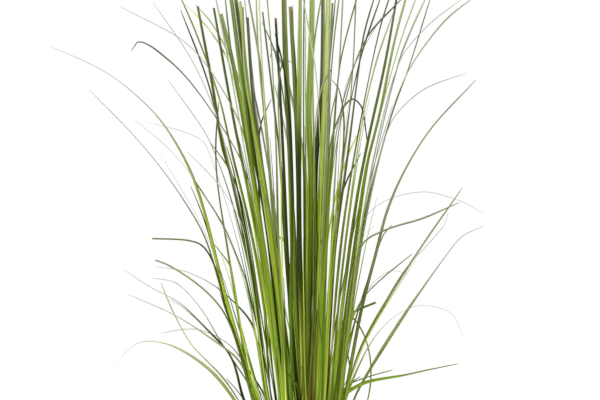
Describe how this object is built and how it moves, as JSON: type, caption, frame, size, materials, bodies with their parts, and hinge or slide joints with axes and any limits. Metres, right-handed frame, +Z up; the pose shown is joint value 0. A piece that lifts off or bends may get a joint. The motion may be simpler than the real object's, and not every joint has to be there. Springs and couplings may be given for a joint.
{
  "type": "potted ornamental grass",
  "caption": "Clump of narrow-leaved ornamental grass with stiff upright and arching outer leaves, growing in the soil of a plain tapered clay pot.",
  "frame": {"origin": "centre of the pot's flat underside, on the surface that it stands on", "axes": "+Z up along the pot's axis, +X to the right in the picture, +Y away from the camera"},
  "size_m": [0.6502, 0.6679, 0.9414],
  "materials": {
    "clay": "matte",
    "soil": "matte",
    "leaf": "satin"
  },
  "bodies": {
    "root": {"pot": "clay", "soil": "soil", "left_shoot_01": "leaf", "left_shoot_02": "leaf", "left_shoot_03": "leaf", "left_shoot_04": "leaf", "left_shoot_05": "leaf", "left_shoot_06": "leaf", "left_shoot_07": "leaf", "left_shoot_08": "leaf", "left_shoot_09": "leaf", "left_shoot_10": "leaf", "left_shoot_11": "leaf", "left_shoot_12": "leaf", "left_shoot_13": "leaf", "left_shoot_14": "leaf", "core_shoot_01": "leaf", "core_shoot_02": "leaf", "core_shoot_03": "leaf", "core_shoot_04": "leaf", "core_shoot_05": "leaf", "core_shoot_06": "leaf", "core_shoot_07": "leaf", "core_shoot_08": "leaf", "core_shoot_09": "leaf", "core_shoot_10": "leaf", "core_shoot_11": "leaf", "core_shoot_12": "leaf", "core_shoot_13": "leaf", "core_shoot_14": "leaf", "core_shoot_15": "leaf", "core_shoot_16": "leaf", "core_shoot_17": "leaf", "core_shoot_18": "leaf", "core_shoot_19": "leaf", "core_shoot_20": "leaf", "core_shoot_21": "leaf", "core_shoot_22": "leaf", "right_shoot_01": "leaf", "right_shoot_02": "leaf", "right_shoot_03": "leaf", "right_shoot_04": "leaf", "right_shoot_05": "leaf", "right_shoot_06": "leaf", "right_shoot_07": "leaf", "right_shoot_08": "leaf", "right_shoot_09": "leaf", "front_shoot_01": "leaf", "front_shoot_02": "leaf", "front_shoot_03": "leaf", "front_shoot_04": "leaf", "front_shoot_05": "leaf", "front_shoot_06": "leaf", "back_shoot_01": "leaf", "back_shoot_02": "leaf", "back_shoot_03": "leaf", "back_shoot_04": "leaf", "back_shoot_05": "leaf", "back_shoot_06": "leaf", "back_shoot_07": "leaf"}
  },
  "joints": []
}
